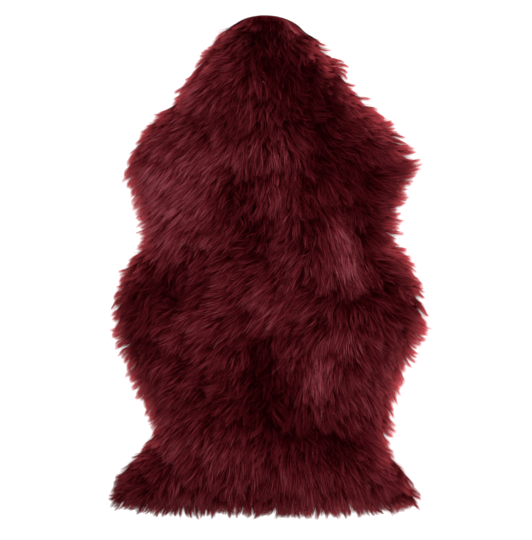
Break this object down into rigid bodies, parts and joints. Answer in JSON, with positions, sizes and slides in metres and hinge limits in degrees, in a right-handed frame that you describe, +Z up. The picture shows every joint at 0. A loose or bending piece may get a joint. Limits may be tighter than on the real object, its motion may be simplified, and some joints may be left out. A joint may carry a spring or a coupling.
{
  "type": "sheepskin rug",
  "caption": "Hide-shaped long-pile rug, lying flat, with a rounded neck, two waists, flared hind legs and locks of wool round its rim.",
  "frame": {"origin": "middle of the rug's box, at the level of the floor it lies on", "axes": "+Y from the hem between the hind legs to the neck, +X to the right seen from above, +Z up out of the pile"},
  "size_m": [0.576, 0.8998, 0.0393],
  "materials": {
    "wool_pile": "long silky burgundy pile"
  },
  "bodies": {
    "root": {"sheepskin_rug": "wool_pile"}
  },
  "joints": []
}
